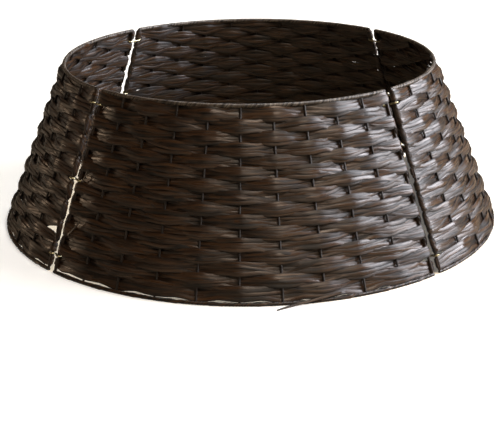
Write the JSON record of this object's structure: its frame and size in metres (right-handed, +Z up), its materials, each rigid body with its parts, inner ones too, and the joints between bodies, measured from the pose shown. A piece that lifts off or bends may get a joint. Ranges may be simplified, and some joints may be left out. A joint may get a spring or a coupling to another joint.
{
  "type": "christmas tree collar",
  "caption": "Tapered ring of woven flat strands on hinged wire-framed panels that stands round the foot of a tree and hides its stand.",
  "frame": {"origin": "on the floor, on the axis of the ring", "axes": "+Z up along the ring's axis from the wide foot to the narrow rim; the front panel's middle faces -Y and the right panel's middle faces +X, so the seams are on the diagonals and the hooked seam is between +X and -Y"},
  "size_m": [0.7112, 0.7112, 0.2286],
  "materials": {
    "woven_strand": "dark brown extruded strand, striated along its length, satin",
    "frame_wire": "dark brown powder coat on steel wire, satin",
    "stake_wire": "dark grey-brown powder coat on steel wire, satin",
    "fitting_wire": "zinc-plated steel wire, dull"
  },
  "bodies": {
    "front_panel": {"front_top_rod": "frame_wire", "front_bottom_rod": "frame_wire", "front_left_rod": "frame_wire", "front_right_rod": "frame_wire", "front_stakes": "stake_wire", "front_odd_rows": "woven_strand", "front_even_rows": "woven_strand", "front_lower_link": "fitting_wire", "front_middle_link": "fitting_wire", "front_upper_link": "fitting_wire"},
    "left_panel": {"left_top_rod": "frame_wire", "left_bottom_rod": "frame_wire", "left_left_rod": "frame_wire", "left_right_rod": "frame_wire", "left_stakes": "stake_wire", "left_odd_rows": "woven_strand", "left_even_rows": "woven_strand", "left_lower_link": "fitting_wire", "left_middle_link": "fitting_wire", "left_upper_link": "fitting_wire"},
    "back_panel": {"back_top_rod": "frame_wire", "back_bottom_rod": "frame_wire", "back_left_rod": "frame_wire", "back_right_rod": "frame_wire", "back_stakes": "stake_wire", "back_odd_rows": "woven_strand", "back_even_rows": "woven_strand", "back_lower_link": "fitting_wire", "back_middle_link": "fitting_wire", "back_upper_link": "fitting_wire"},
    "right_panel": {"right_top_rod": "frame_wire", "right_bottom_rod": "frame_wire", "right_left_rod": "frame_wire", "right_right_rod": "frame_wire", "right_stakes": "stake_wire", "right_odd_rows": "woven_strand", "right_even_rows": "woven_strand"},
    "lower_hook": {"lower_hook": "fitting_wire"},
    "upper_hook": {"upper_hook": "fitting_wire"}
  },
  "joints": [
    {"name": "left_panel_hinge", "type": "hinge", "parent": "front_panel", "child": "left_panel", "pos_m": [-0.22215, -0.2114, 0.11572], "axis": [0.2696, 0.2696, 0.9244], "range_deg": [0, 120]},
    {"name": "back_panel_hinge", "type": "hinge", "parent": "left_panel", "child": "back_panel", "pos_m": [-0.2114, 0.22215, 0.11572], "axis": [0.2696, -0.2696, 0.9244], "range_deg": [0, 120]},
    {"name": "right_panel_hinge", "type": "hinge", "parent": "back_panel", "child": "right_panel", "pos_m": [0.22215, 0.2114, 0.11572], "axis": [-0.2696, -0.2696, 0.9244], "range_deg": [0, 120]},
    {"name": "lower_hook_swing", "type": "hinge", "parent": "right_panel", "child": "lower_hook", "pos_m": [0.24962, -0.23887, 0.02153], "axis": [-0.2696, 0.2696, 0.9244], "range_deg": [-60, 78.2]},
    {"name": "upper_hook_swing", "type": "hinge", "parent": "right_panel", "child": "upper_hook", "pos_m": [0.19467, -0.18393, 0.20991], "axis": [-0.2696, 0.2696, 0.9244], "range_deg": [-60, 78.2]}
  ]
}
